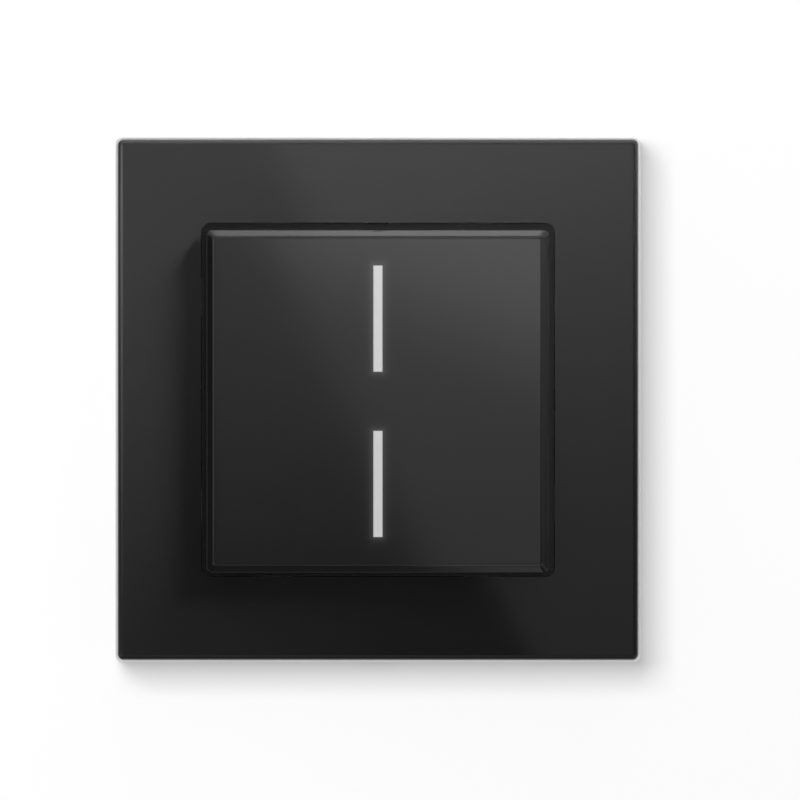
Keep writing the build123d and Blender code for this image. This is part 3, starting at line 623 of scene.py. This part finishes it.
bm = bmesh.new()
outer = rounded_square(bm, glass_half, glass_corner, glass_front, glass_corner_steps)
inner = rounded_square(bm, opening_half, opening_corner, glass_front, glass_corner_steps)
push(bm, ring_face(bm, outer, inner), glass_front - glass_rear)
outer_rim = rim_at(bm, glass_front, glass_half)
inner_rim = rim_at(bm, glass_front, opening_half)
rear_rim = rim_at(bm, glass_rear, glass_half)
round_off(bm, outer_rim, glass_round, segments=10)
round_off(bm, inner_rim, opening_round, segments=3)
round_off(bm, rear_rim, glass_rear_round, segments=2)
glass = finish_piece(bm, "glass_sheet", "insert", "glass_black", "glass_panel",
                     smooth_below=largest_round)

# %% [markdown]
# ## The rocker's cap
#
# The push plate is a shallow plastic tray. Its face is framed by a sloping bevel about a
# millimetre wide, and the polish has rounded the bevel's edges a little, which is what makes them
# shine. An inset and a bevel of the edges would be the quick way, but the round is wider than the
# corners' small faces, so the bevel operator makes them collapse. The tray is built in layers
# instead: rounded squares one behind the other, from the face over the round, the slope and the
# side to the inner floor, and each is bridged to the next.

# %% Outlines in layers
cap_corner_steps = 10


def outline(bm, half, radius, out):
    """One closed loop of edges, a rounded square, ready to be bridged to the next."""
    face = rounded_square(bm, half, radius, out, cap_corner_steps)
    loop = list(face.edges)
    bmesh.ops.delete(bm, geom=[face], context="FACES_ONLY")
    return loop


def stack(bm, sections):
    """Bridges outlines, each a half width, a corner and a height, to a skin with closed ends."""
    loops = [outline(bm, *section) for section in sections]
    for one, other in zip(loops, loops[1:]):
        bmesh.ops.bridge_loops(bm, edges=one + other)
    bmesh.ops.contextual_create(bm, geom=loops[0])
    bmesh.ops.contextual_create(bm, geom=loops[-1])


print("layer helpers:", [helper.__name__ for helper in (outline, stack)])

# %% Work out the cap's sections
cap_corner = 1.0 * MM
cap_rear = 7.68 * MM
cap_wall = 1.4 * MM
cap_face_thick = 1.6 * MM
cap_inner_corner = 0.3 * MM
rear_round = 0.1 * MM
bevel_wide = 1.15 * MM
bevel_deep = 0.9 * MM
face_round = 0.80 * MM
face_corner = 0.5 * MM
steps_round = 8
flat_margin = 1.2 * MM
flat_corner = 0.2 * MM

cap_low, cap_high = ends("rocker_cap")
cap_half = cap_high.x
cap_front = -cap_low.y
cap_shoulder = cap_front - bevel_deep
cap_floor = cap_front - cap_face_thick
slope = math.atan2(bevel_deep, bevel_wide)
face_half = cap_half - bevel_wide
turn_in = face_round * math.tan(slope / 2)
sections = [(face_half - turn_in - flat_margin, flat_corner, cap_front)]
for step in range(steps_round + 1):
    tilt = slope * step / steps_round
    inward = turn_in - face_round * math.sin(tilt)
    sink = face_round * (1 - math.cos(tilt))
    # The corner's radius shrinks half as fast as the outline.
    sections.append((face_half - inward, face_corner - inward * 0.5, cap_front - sink))

# The worn shoulder: how far in, how much less corner, and how far above the sharp shoulder.
shoulder = ((0.16, 0.08, 0.12), (0.07, 0.04, 0.03), (0.02, 0.01, -0.06), (0, 0, -0.18))
for inset, less, above in shoulder:
    sections.append((cap_half - inset * MM, cap_corner - less * MM, cap_shoulder + above * MM))
sections += [(cap_half, cap_corner, cap_rear + rear_round),
             (cap_half - rear_round, cap_corner - rear_round / 2, cap_rear),
             (cap_half - cap_wall, cap_inner_corner, cap_rear),
             (cap_half - cap_wall, cap_inner_corner, cap_floor)]
print("cap outlines:", len(sections), "slope, degrees:", round(math.degrees(slope), 1))

# %% [markdown]
# The two slots for the lit bars go through the face to the inner floor. A boolean would cut them,
# but it leaves long thin triangles on the face. Here the skin is sliced along the sides of the
# slots, the fields that lie over a slot are taken out in front and behind, and the two rims are
# bridged to the slot's walls.

# %% Stack them and cut the two slots
slot_play = 0.05 * MM
slot_x = bar_w / 2 + slot_play
slot_z = (bar_z - bar_length / 2 - slot_play, bar_z + bar_length / 2 + slot_play)
touching_cut = 1e-8


def slice_at(bm, place, normal):
    """Cuts the faces along a plane and keeps both sides."""
    geom = list(bm.verts) + list(bm.edges) + list(bm.faces)
    bmesh.ops.bisect_plane(bm, geom=geom, dist=touching_cut, plane_co=place, plane_no=normal)


bm = bmesh.new()
stack(bm, sections)
for x in (-slot_x, slot_x):
    slice_at(bm, (x, 0, 0), (1, 0, 0))
for z in slot_z:
    slice_at(bm, (0, 0, z), (0, 0, 1))
    slice_at(bm, (0, 0, -z), (0, 0, 1))
for half in (1, -1):
    mouths = []
    for out in (cap_front, cap_floor):
        for found in bm.faces:
            at = found.calc_center_median()
            inside = abs(at.x) < slot_x and slot_z[0] < half * at.z < slot_z[1]
            if inside and abs(at.y + out) < touching:
                mouths.append(found)
    rims = [e for f in mouths for e in f.edges]
    bmesh.ops.delete(bm, geom=mouths, context="FACES_ONLY")
    bmesh.ops.bridge_loops(bm, edges=rims)
bmesh.ops.translate(bm, vec=(0, 0, -rocker_drop), verts=bm.verts)
print("slots, mm:", round(2 * slot_x / MM, 2), "x", round((slot_z[1] - slot_z[0]) / MM, 2))

# %% [markdown]
# Behind the face four stakes hold the ribbed bridge. On the real piece they are pins whose ends are
# melted to heads once the bridge is on. They are turned shapes, so one line is spun for each.

# %% Add the four stakes that hold the bridge
stake_place = 20.5 * MM
stake_radius = 0.8 * MM
stake_rear = 9.8 * MM
stake_sunk = 0.1 * MM
head_radius = 1.3 * MM
head_thick = 0.4 * MM
head_edge = 0.2 * MM
head_edge_deep = 0.15 * MM
largest_cap_round = 12 * MM * MM


def lathe(bm, profile, x, z, steps=24):
    """Spins a line of (radius, out) points round an axis that runs straight out from the wall."""
    verts = [bm.verts.new((x + radius, -out, z)) for radius, out in profile]
    edges = [bm.edges.new(pair) for pair in zip(verts, verts[1:])]
    bmesh.ops.spin(bm, geom=verts + edges, cent=(x, 0, z), axis=(0, 1, 0), dvec=(0, 0, 0),
                   angle=math.radians(360), steps=steps, use_merge=True)


stake_front = cap_floor + stake_sunk
head_front = stake_rear + head_thick
stake = [(0, stake_rear), (head_radius - head_edge, stake_rear),
         (head_radius, stake_rear + head_edge_deep), (head_radius, head_front),
         (stake_radius, head_front), (stake_radius, stake_front), (0, stake_front)]
for x in (-stake_place, stake_place):
    for z in (-stake_place, stake_place):
        lathe(bm, stake, x, z)
cap = finish_piece(bm, "cap_shell", "rocker", "rocker_black", "rocker_cap",
                   smooth_below=largest_cap_round)

# %% [markdown]
# ## Threads on the claw screws
#
# A turning screw shows its thread only when the thread is really there, and the CAD solid is a
# plain rod as thick as the thread's crest. So a copy of the solid gets a thinner rod, and a ridge
# is wound round it: one small triangle is spun about the axis and moved along by a pitch in each
# turn. The piece rides with the screw's body, so the thread turns too.

# %% Cut the threads
thread_pitch = 0.7 * MM
thread_crest = 1.5 * MM
thread_root = 1.2 * MM
thread_sunk = 0.05 * MM
thread_foot = 0.32 * thread_pitch
thread_turns = 14
thread_steps = 24
thread_start = 0.6 * MM
rod_front = 1.15 * MM


def threaded(side):
    """A copy of a claw screw with a thinner rod and a ridge wound round it."""
    name = "claw_screw_" + side
    x = centre(name).x
    bm = bmesh.new()
    bm.from_mesh(nodes[name].data)
    rod_reach = thread_crest + thread_sunk
    rod = [v for v in bm.verts
           if v.co.y > -rod_front and math.hypot(v.co.x - x, v.co.z) < rod_reach]
    narrow = thread_root / thread_crest
    bmesh.ops.scale(bm, vec=(narrow, 1, narrow), space=Matrix.Translation((-x, 0, 0)), verts=rod)
    profile = ((thread_root - thread_sunk, -thread_foot), (thread_crest, 0),
               (thread_root - thread_sunk, thread_foot))
    tooth = [bm.verts.new((x + radius, thread_start + along, 0)) for radius, along in profile]
    edges = [bm.edges.new(pair) for pair in zip(tooth, tooth[1:])]
    edges.append(bm.edges.new((tooth[2], tooth[0])))
    made = bmesh.ops.spin(bm, geom=tooth + edges, cent=(x, 0, 0), axis=(0, 1, 0),
                          dvec=(0, thread_pitch / thread_steps, 0),
                          angle=math.radians(360) * thread_turns, steps=thread_steps * thread_turns)
    last = [g for g in made["geom_last"] if isinstance(g, bmesh.types.BMEdge)]
    bmesh.ops.contextual_create(bm, geom=edges)
    bmesh.ops.contextual_create(bm, geom=last)
    return finish_piece(bm, "threaded_screw_" + side, name, "screw_steel", name)


screws = [threaded("left"), threaded("right")]
for screw in screws:
    low, high = corners_round([v.co / MM for v in screw.data.vertices])
    print(screw.name, "mm:", [round(v, 2) for v in low], [round(v, 2) for v in high])

# %% [markdown]
# ## The wall and the air
#
# The switch sits on a white wall. The wall is one plane at the frame's rear edge, a hair forward
# so that no light slips in under the frame, and it can be looked through from behind, so that
# views of the back show the insert. Only for the camera it glows a little on its own, which keeps
# it white while the frame's shadow on it stays soft and grey. Behind the switch the round hole of
# the box is a dark disc of the usual 68 mm, painted shade for the box's recess.

# %% The wall's paint
wall_glow = 0.33
wall_grey = 0.36
mottle_size = MM / 0.9
mottle_depth = 0.1 * MM
painted_box_shade_grey = 0.01
box_radius = 34 * MM
box_rim = 0.1 * MM

wall_paint, wire = blank("wall_paint")
seen = wire.math("MAXIMUM", wire.node("LightPath", out="Is Camera Ray"),
                 wire.node("LightPath", out="Is Glossy Ray"))
place = own_place(wire)
mottle = noise(wire, place, mottle_size, detail=3.0)
relief = relief_of(wire, mottle, mottle_depth, strength=0.04)
paint = wire.node("BsdfDiffuse", None, {"Color": grey(wall_grey), "Normal": relief})
glow = wire.node("Emission", None, {"Strength": wall_glow})
glowing = wire.node("AddShader", None, {0: paint, 1: glow})
# A Mix Shader has its factor in socket 0 and its two shaders in sockets 1 and 2.
painted = wire.node("MixShader", None, {0: seen, 1: paint, 2: glowing})
# Painted shade: inside the box's round the wall is dark, standing in for the box's recess.
painted_box_shade = wire.node("BsdfDiffuse", None, {"Color": grey(painted_box_shade_grey)})
from_middle = wire.node("VectorMath", {"operation": "LENGTH"}, {0: place}, out="Value")
beyond_box = from_middle.soft(box_radius - box_rim, box_radius)
front = wire.node("MixShader", None, {0: beyond_box, 1: painted_box_shade, 2: painted})
clear = wire.node("BsdfTransparent")
from_behind = wire.node("NewGeometry", out="Backfacing")
seal(wire, wire.node("MixShader", None, {0: from_behind, 1: front, 2: clear}))
print("hole in the wall, mm:", round(2 * box_radius / MM))

# %% The wall itself
wall_half = 3
wall_forward = 0.05 * MM


def stage_plane(name, half, material):
    """A plane that faces the room, at the origin."""
    bm = bmesh.new()
    bmesh.ops.create_grid(bm, x_segments=1, y_segments=1, size=half)
    turn = Matrix.Rotation(math.radians(90), 3, "X")
    bmesh.ops.rotate(bm, cent=(0, 0, 0), matrix=turn, verts=bm.verts)
    mesh = bpy.data.meshes.new(name)
    bm.to_mesh(mesh)
    bm.free()
    mesh.materials.append(material)
    plane = bpy.data.objects.new(name, mesh)
    bpy.context.scene.collection.objects.link(plane)
    return plane


wall = stage_plane("wall", wall_half, wall_paint)
wall.location.y = -wall_forward
print("stage:", wall.name)

# %% [markdown]
# The air is white too, as in a bright room, but a mirror-like surface shows which parts of a room
# are bright. So the air is plain white to the camera, an even pale light to dull surfaces, and for
# reflections a soft picture of a room: bright above, dark straight behind the camera, and a pale
# floor. Behind the wall the reflections see a second, simpler room, for views of the back.

# %% The air
air_light = 0.52
ceiling_level, least_level = 0.9, 0.1
shaded_share = 0.85
floor_level = 0.28
right_floor_level = 0.35
rear_ceiling_level, rear_least_level = 0.7, 0.25

world = bpy.data.worlds.new("air")
bpy.context.scene.world = world
world.use_nodes = True
world.node_tree.nodes.clear()
wire = Wire(world.node_tree)
rightward, wallward, upward = xyz(wire, wire.node("TexCoord", out="Generated"))
roomward = 0 - wallward
downward = 0 - upward
# Each of these is 1 straight along its direction, 0 square to it and -1 straight away from it.
behind_camera = roomward.soft(0.86, 0.98)
room = upward.soft(0.0, 0.95) * ceiling_level + least_level
room = room * (1 - behind_camera * shaded_share)
floor = downward.soft(0.12, 0.4) * (1 - downward.soft(0.45, 0.8)) * floor_level
room = room + floor * roomward.soft(0.35, 0.6)
right_floor = downward.soft(0.3, 0.6) * (1 - downward.soft(0.7, 0.95)) * rightward.soft(0.3, 0.6)
room = room + right_floor * right_floor_level
rear_room = upward.soft(-0.9, 0.8) * rear_ceiling_level + rear_least_level
pale = rear_room + (room - rear_room) * roomward.soft(-0.3, 0.1)
mirrored = wire.node("Background", None, {"Color": pale.mix(grey(0), grey(1)), "Strength": 1.0})
around = wire.node("Background", None, {"Color": grey(1), "Strength": air_light})
plain = wire.node("Background", None, {"Color": grey(1), "Strength": 1.0})
glossy_ray = wire.node("LightPath", out="Is Glossy Ray")
camera_ray = wire.node("LightPath", out="Is Camera Ray")
for_light = wire.node("MixShader", None, {0: glossy_ray, 1: around, 2: mirrored})
for_all = wire.node("MixShader", None, {0: camera_ray, 1: for_light, 2: plain})
wire.node("OutputWorld", None, {"Surface": for_all})
print("air:", world.name)

# %% [markdown]
# ## Soft lamps
#
# The photograph's rocker throws its shadow on the glass to the left and downwards, so the key lamp
# stands up on the right, nearly in line with the glass. It is close, so the glass near it would
# get too bright: its beam is narrow, as behind a grid, and aims at the upper left corner. A second
# lamp at the same place, without the grid, is for all the pieces that aren't black. A strip
# overhead and a lamp in front fill in, and a large lamp near the camera on the left throws the
# frame's own shadow on the wall, to the right and downwards. The last one stands behind the wall
# and lights the insert in views of the back.
#
# Light linking keeps each lamp on the surfaces that it is for. The lamps in front don't show in
# the gloss, because the polished faces would mirror them as hard bright squares.

# %% Lamps and what they light
def lamp(name, place, target, size, radiance):
    """A rectangular soft lamp that faces its target. Its radiance is 1 where it looks white."""
    data = bpy.data.lights.new(name, "AREA")
    data.shape = "RECTANGLE"
    data.size, data.size_y = size
    data.energy = radiance * size[0] * size[1] * math.pi
    made = bpy.data.objects.new(name, data)
    made.location = place
    toward = Vector(target) - Vector(place)
    made.rotation_euler = toward.to_track_quat("-Z", "Y").to_euler()
    bpy.context.scene.collection.objects.link(made)
    return made


def only_on(light, receivers):
    """Links a lamp to the objects that it may light. All objects still block it."""
    group = bpy.data.collections.new(light.name + "_receivers")
    for receiver in receivers:
        group.objects.link(receiver)
    light.light_linking.receiver_collection = group


black_pieces = [glass, cap, nodes["light_bar_upper"], nodes["light_bar_lower"]]
other_pieces = [node for node in nodes.values() if node not in black_pieces] + screws
print("black pieces:", len(black_pieces), "other pieces:", len(other_pieces))

# %% Place the lamps
rocker_middle = (0, -0.012, 0)
wall_middle = (0, 0, 0)
insert_middle = (0, 0.01, 0)
upper_left_corner = (-0.030, -0.010, 0.060)
up_on_the_right = (0.137, -0.080, 0.198)
overhead = (0.0, -0.21, 0.80)
beside_camera = (-0.34, -1.2, 0.34)
below_camera = (-0.15, -1.2, -0.15)
behind_wall = (0.5, 0.9, 0.6)
small, large, largest = (0.13, 0.13), (0.7, 0.7), (0.9, 0.9)
long_strip = (1.2, 0.22)
grid_angle = math.radians(25)

key = lamp("key", up_on_the_right, upper_left_corner, small, radiance=5.2)
key.data.spread = grid_angle
fill = lamp("fill", up_on_the_right, rocker_middle, small, radiance=7.0)
strip = lamp("strip", overhead, rocker_middle, long_strip, radiance=1.0)
wall_lamp = lamp("wall_lamp", beside_camera, wall_middle, large, radiance=16.8)
front_lamp = lamp("front_lamp", below_camera, wall_middle, large, radiance=6.2)
for hidden in (key, fill, strip, front_lamp):
    hidden.visible_glossy = False
rear_lamp = lamp("rear_lamp", behind_wall, insert_middle, largest, radiance=0.95)
only_on(wall_lamp, [wall])
only_on(key, black_pieces)
only_on(fill, other_pieces)
only_on(front_lamp, other_pieces)
lamps = (key, fill, strip, wall_lamp, front_lamp, rear_lamp)
print("lamps:", [round(one.data.energy, 1) for one in lamps])

# %% [markdown]
# ## What the gloss reflects
#
# Behind the camera of the photograph stood something pale with a straight slanting edge, and the
# polished faces show it: a soft step in brightness that runs down to the right, over the frame
# and, a little shifted, over the rocker. Cards of light stand for it, as in a photographer's
# studio. They are lamps that show only in gloss, and their brightness follows a short formula of
# the place on them.

# %% A card of light
fade_share = 0.8
cards = []


def card(name, place, size, receivers, pattern, fading=True):
    """A lamp that only shows as a reflection, with a pattern of light that may fade to its edges.

    The pattern gets its place in millimetres, scaled so that on a card straight ahead it is the
    place on the switch that mirrors it to the camera.
    """
    made = lamp(name, place, wall_middle, (size, size), radiance=1.0)
    made.visible_camera = False
    made.visible_diffuse = False
    made.visible_transmission = False
    made.data.use_nodes = True
    tree = made.data.node_tree
    tree.nodes.clear()
    wire = Wire(tree)
    spread = 1 + Vector(place).length / camera_distance
    spot = xyz(wire, wire.node("NewGeometry", out="Position"))
    strength = pattern(wire, spot[0] / (spread * MM), spot[2] / (spread * MM))
    if fading:
        for part in xyz(wire, wire.node("NewGeometry", out="Parametric"))[:2]:
            # 1 in the middle of the card and 0 at both ends
            bulge = part * (1 - part) * 4
            strength = strength * bulge.soft(0.0, fade_share)
    light = wire.node("Emission", None, {"Strength": strength})
    wire.node("OutputLight", None, {"Surface": light})
    only_on(made, receivers)
    cards.append(made)


print("full light where the bulge is over:", fade_share)

# %% The slanting edge on the frame
straight_ahead = (0, -0.6, 0)
flat_card = 0.16
frame_slant, frame_edge, frame_edge_soft = 0.51, 3.1, 1.8
frame_top = 40.0
frame_climb, frame_curve = 0.44, 1.5
frame_step, frame_step_rise = 0.25, 0.07
dip_from, dip_full, dip_depth = -30.0, 2.0, 0.17


def on_frame(wire, across, up):
    """Brighter above, and beyond the slanting edge. Before the edge it dips a little."""
    slanting = across + up * frame_slant
    edge = (slanting - frame_edge).soft(-frame_edge_soft, frame_edge_soft)
    level = wire.math("MAXIMUM", (up + frame_top) * (0.5 / frame_top), 0.0)
    dip = slanting.soft(dip_from, dip_full) * (1 - edge) * level
    climb = frame_climb * level ** frame_curve
    step = (frame_step + frame_step_rise * level) * edge
    return climb + step - dip_depth * dip


card("frame_card", straight_ahead, size=flat_card, receivers=[glass],
     pattern=on_frame, fading=False)
print("the edge slants by, degrees:", round(math.degrees(math.atan(frame_slant))))

# %% [markdown]
# The rocker shows the same edge a little further left, and a bright patch in its upper right, so it
# has a card of its own. In the gap between them the module's cover shows the frame's pattern once
# more, but the rocker shades the left side of the gap.

# %% The slanting edge on the rocker and in the gap
rocker_slant, rocker_edge, rocker_edge_soft = 0.47, -5.4, 2.2
rocker_top = 27.0
rocker_foot, rocker_climb = 0.19, 0.37
rocker_step, rocker_step_fall = 0.44, 0.08
patch_up, patch_across, patch_middle = 0.85, 0.36, 7.3
patch_from, patch_to, patch_level = -2.0, 20.0, 0.95
shade_from, shade_to = -27.6, -25.6
shade_level, lit_rise = 0.18, 0.75


def on_rocker(wire, across, up):
    """The same edge a little further left, and a bright patch in the upper right."""
    edge = (across + up * rocker_slant - rocker_edge).soft(-rocker_edge_soft, rocker_edge_soft)
    level = (up + rocker_top) * (0.5 / rocker_top)
    patch = up * patch_up + across * patch_across - patch_middle
    patch = patch.soft(patch_from, patch_to)
    climb = rocker_foot + rocker_climb * level
    step = (rocker_step - rocker_step_fall * level + patch_level * patch) * edge
    return climb + step


def on_cover(wire, across, up):
    """The cover shows in the gap. Its left side lies in the rocker's shade."""
    lit = across.soft(shade_from, shade_to)
    return on_frame(wire, across, up) * (lit * lit_rise + shade_level)


card("cover_card", straight_ahead, size=flat_card, receivers=[nodes["module_cover"]],
     pattern=on_cover, fading=False)
card("rocker_card", straight_ahead, size=flat_card, receivers=[cap],
     pattern=on_rocker, fading=False)
print("cards ahead:", [one.name for one in cards])

# %% [markdown]
# The flat faces see only the cards ahead. A rounded edge sees much more of the room, because its
# direction turns from the front to the side within a millimetre. So windows stand at the left and
# the right for the ground edge of the glass, with panes of their own for the rocker. Sills fill in
# between a window and the card ahead, where the edge would show a dark line, and the slopes of the
# rocker's bevel have cards above, below and on the right.

# %% Windows at the sides, for the edges
left_side, right_side = (-0.46, -0.48, 0), (0.46, -0.48, 0)
left_ahead = (-0.25, -0.6, 0)
tide_low, tide_rise = -42.0, 84.0


def tide(wire, up):
    """Rises from 0 to 1 over the height of the frame, falls back over the next, and so on."""
    return wire.math("PINGPONG", up - tide_low, tide_rise) * (1 / tide_rise)


def rising(foot, rise):
    """A pattern that gets brighter by `rise` from the foot of the frame to its top."""
    return lambda wire, across, up: foot + rise * tide(wire, up)


def rising_late(foot, rise):
    """The same, but most of the rise is in the upper half."""
    return lambda wire, across, up: foot + rise * tide(wire, up) * tide(wire, up)


card("left_window", left_side, size=1.0, receivers=[glass],
     pattern=rising_late(0.15, 1.5))
card("left_sill", left_ahead, size=0.30, receivers=[glass],
     pattern=rising(0.0, 1.5))
card("right_window", right_side, size=1.0, receivers=[glass],
     pattern=rising(0.02, 0.10))
card("left_pane", left_side, size=0.62, receivers=[cap],
     pattern=rising(0.35, 0.95))
card("right_pane", right_side, size=0.8, receivers=[cap],
     pattern=rising(0.20, 0.40))
print("cards so far:", len(cards))

# %% [markdown]
# The bevels at the top and the bottom of the rocker show their cards as bright and dim strips. In
# the photograph a strip is brighter on the right than on the left, so their patterns step once.

# %% Light for the bevels above, below and on the right
above_ahead, below_ahead = (0, -0.6, 0.25), (0, -0.6, -0.25)
far_above, far_below = (0, -0.21, 0.80), (0, -0.21, -0.80)
far_right = (0.80, -0.21, 0)
half_below = (0, -0.46, -0.46)


def stepping(left, rise, at, softness):
    """A pattern that gets brighter by `rise` in a soft step, `at` millimetres from the middle."""
    return lambda wire, across, up: left + rise * (across - at).soft(-softness, softness)


under_bevel = stepping(0.04, 0.52, at=12, softness=8.0)
card("upper_sill", above_ahead, size=0.30, receivers=[cap],
     pattern=stepping(0.60, 0.60, at=-8, softness=8.0))
card("lower_sill", below_ahead, size=0.30, receivers=[cap],
     pattern=stepping(0.22, 0.38, at=8, softness=8.0))
card("upper_card", far_above, size=0.26, receivers=[cap],
     pattern=stepping(1.4, 0.8, at=-12, softness=5.0))
card("side_card", far_right, size=0.30, receivers=[cap],
     pattern=rising(0.12, 0.22))
card("lower_card", far_below, size=0.30, receivers=[cap],
     pattern=under_bevel)
card("lower_pane", half_below, size=0.5, receivers=[cap],
     pattern=under_bevel)
print("cards:", [one.name for one in cards])

# %% [markdown]
# The finer pieces replace solids of the same size, so the box of the CAD model and the box of
# everything that shows should agree.
